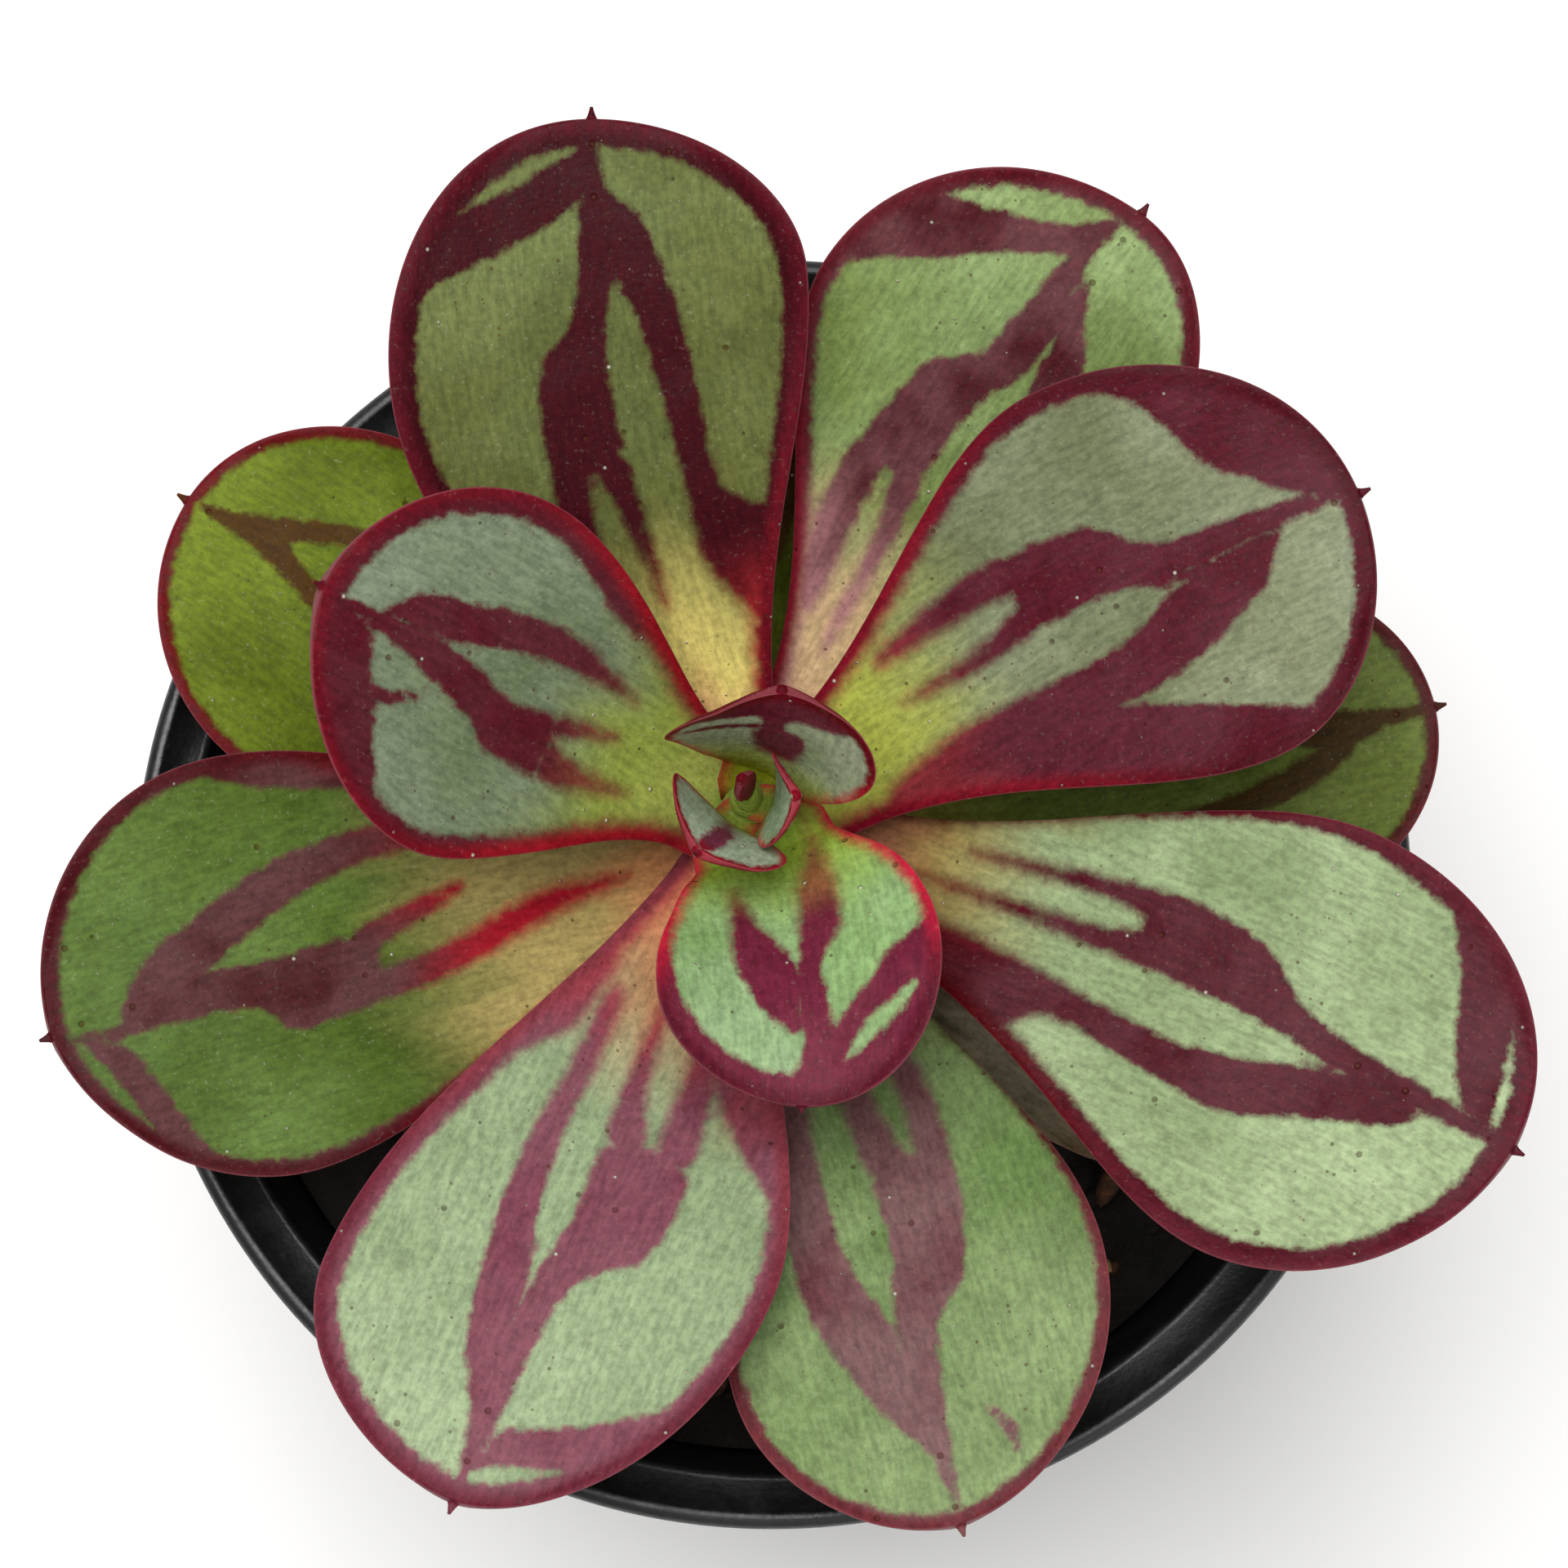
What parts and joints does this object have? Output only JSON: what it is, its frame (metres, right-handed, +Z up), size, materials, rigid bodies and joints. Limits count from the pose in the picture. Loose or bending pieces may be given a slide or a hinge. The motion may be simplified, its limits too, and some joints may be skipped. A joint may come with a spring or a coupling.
{
  "type": "potted succulent",
  "caption": "Rosette succulent with fleshy painted leaves, green with dark red streaks and rims, in a round dark plastic nursery pot.",
  "frame": {"origin": "middle of the pot's underside, on the surface it stands on", "axes": "+Z up the pot's axis; +Y towards the leaf that the source calls leaf_north, +X towards the large leaves on the east side"},
  "size_m": [0.0994, 0.0957, 0.102],
  "materials": {
    "pot_plastic": "semi-gloss black moulded plastic, finely scuffed",
    "soil": "dark crumbly potting mix",
    "perlite": "matt, rough",
    "bark": "rough bark",
    "stem_bark": "dry, scarred",
    "painted_leaf": "fleshy leaf with a waxy bloom, sage green with maroon streaks and rim",
    "young_leaf": "fleshy leaf with a waxy bloom, mint green with maroon streaks and bright red rim",
    "old_leaf": "fleshy leaf, olive green with rusty streaks",
    "dried_leaf": "withered, papery"
  },
  "bodies": {
    "root": {"pot": "pot_plastic", "potting_mix": "soil", "stem": "stem_bark", "perlite_crumb_1": "perlite", "perlite_crumb_2": "perlite", "perlite_crumb_3": "perlite", "perlite_crumb_4": "perlite", "perlite_crumb_5": "perlite", "perlite_crumb_6": "perlite", "bark_chip_1": "bark", "bark_chip_2": "bark", "bark_chip_3": "bark", "bark_chip_4": "bark", "bark_chip_5": "bark", "leaf_dried": "dried_leaf", "leaf_north_lower": "old_leaf", "leaf_east_lower": "old_leaf", "leaf_north_west_lower": "old_leaf", "leaf_north_east": "painted_leaf", "leaf_west_south_west": "painted_leaf", "leaf_south_south_east": "painted_leaf", "leaf_north": "painted_leaf", "leaf_south_south_west": "painted_leaf", "leaf_east_south_east": "painted_leaf", "leaf_east_north_east": "painted_leaf", "leaf_west_north_west": "painted_leaf", "leaf_south_young": "young_leaf", "leaf_crown_north": "young_leaf", "leaf_crown_south_west": "young_leaf", "leaf_crown_east": "young_leaf", "leaf_bud": "young_leaf"}
  },
  "joints": []
}
